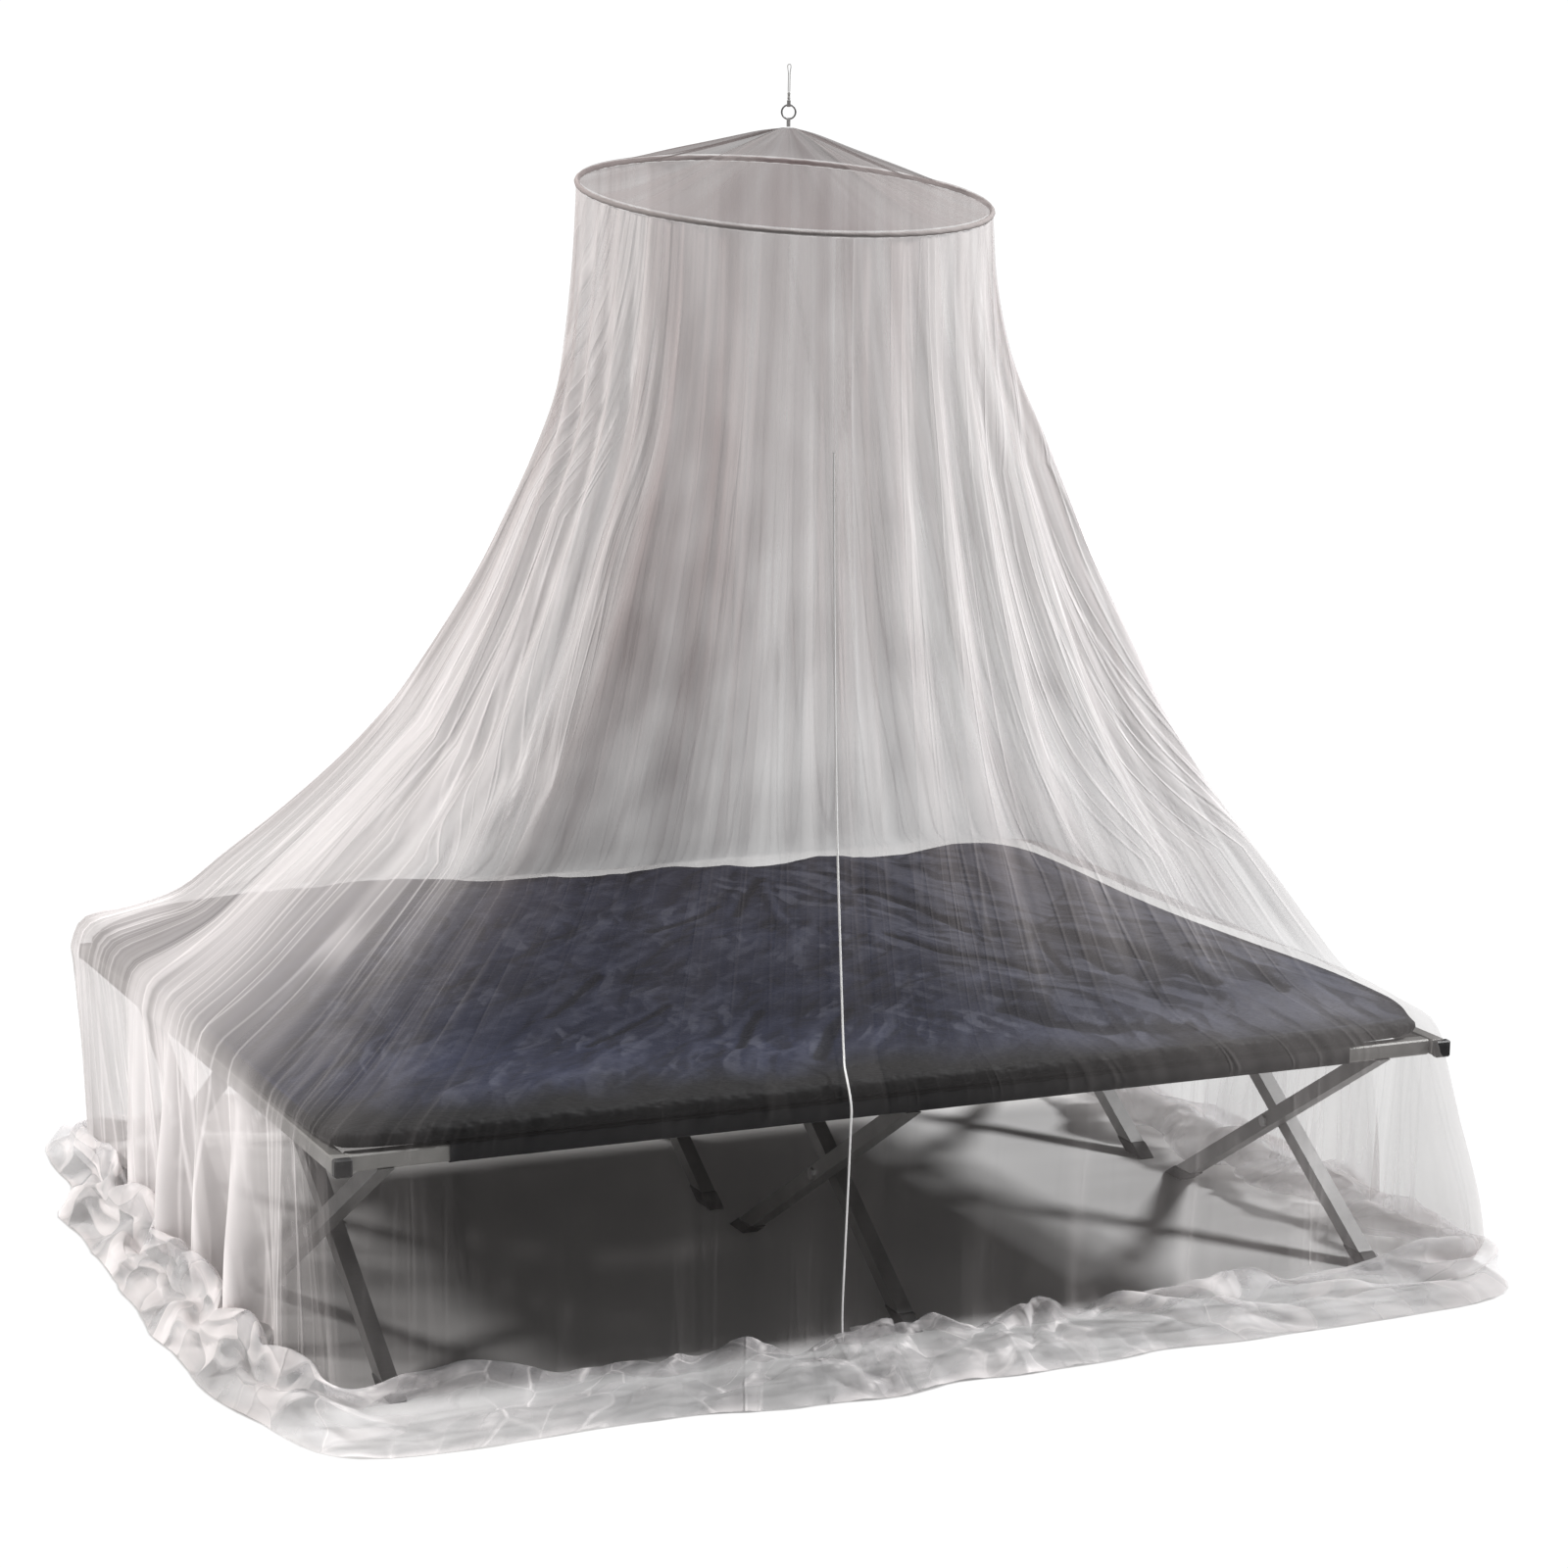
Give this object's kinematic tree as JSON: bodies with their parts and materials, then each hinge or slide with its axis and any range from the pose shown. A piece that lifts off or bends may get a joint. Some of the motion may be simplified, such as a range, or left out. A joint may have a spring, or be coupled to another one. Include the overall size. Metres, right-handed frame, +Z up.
{
  "type": "mosquito net canopy over a camp bed",
  "caption": "Bell-shaped mosquito net with a round hoop, hung from one cord, draped over a wide folding camp bed and its mattress and heaped on the floor",
  "frame": {"origin": "on the floor under the middle of the canopy's hem, which is under the middle of the bed", "axes": "+X along the bed, +Y away from the entrance, +Z up"},
  "size_m": [2.2115, 1.8644, 1.9719],
  "materials": {
    "net": "sheer white net",
    "tape": "woven tape",
    "cord": "thin cord",
    "rod": "plain rod",
    "steel": "plain steel",
    "aluminium_tube": "satin square tube",
    "black_plastic": "matt",
    "black_rubber": "matt",
    "bed_cloth": "black weave",
    "mattress_cloth": "slate blue, creased"
  },
  "bodies": {
    "root": {"apex_loop": "tape", "cord_eye": "cord", "cord_knot": "cord", "end_bar_left": "aluminium_tube", "end_bar_right": "aluminium_tube", "end_cap_left_far": "black_plastic", "end_cap_left_near": "black_plastic", "end_cap_right_far": "black_plastic", "end_cap_right_near": "black_plastic", "entrance_binding": "tape", "foot_left_far_inner": "black_rubber", "foot_left_far_outer": "black_rubber", "foot_left_near_inner": "black_rubber", "foot_left_near_outer": "black_rubber", "foot_middle_far_inner": "black_rubber", "foot_middle_far_outer": "black_rubber", "foot_middle_near_inner": "black_rubber", "foot_middle_near_outer": "black_rubber", "foot_right_far_inner": "black_rubber", "foot_right_far_outer": "black_rubber", "foot_right_near_inner": "black_rubber", "foot_right_near_outer": "black_rubber", "hang_ring": "steel", "hanging_cord": "cord", "hoop_casing": "net", "hoop_rod": "rod", "leg_left_far_inner": "aluminium_tube", "leg_left_far_outer": "aluminium_tube", "leg_left_near_inner": "aluminium_tube", "leg_left_near_outer": "aluminium_tube", "leg_middle_far_inner": "aluminium_tube", "leg_middle_far_outer": "aluminium_tube", "leg_middle_near_inner": "aluminium_tube", "leg_middle_near_outer": "aluminium_tube", "leg_right_far_inner": "aluminium_tube", "leg_right_far_outer": "aluminium_tube", "leg_right_near_inner": "aluminium_tube", "leg_right_near_outer": "aluminium_tube", "mattress": "mattress_cloth", "middle_rail_far": "aluminium_tube", "middle_rail_near": "aluminium_tube", "net_roof": "net", "net_skirt": "net", "pivot_left_far": "steel", "pivot_left_near": "steel", "pivot_middle_far": "steel", "pivot_middle_near": "steel", "pivot_right_far": "steel", "pivot_right_near": "steel", "side_rail_far": "aluminium_tube", "side_rail_near": "aluminium_tube", "sling_cloth": "bed_cloth"}
  },
  "joints": []
}
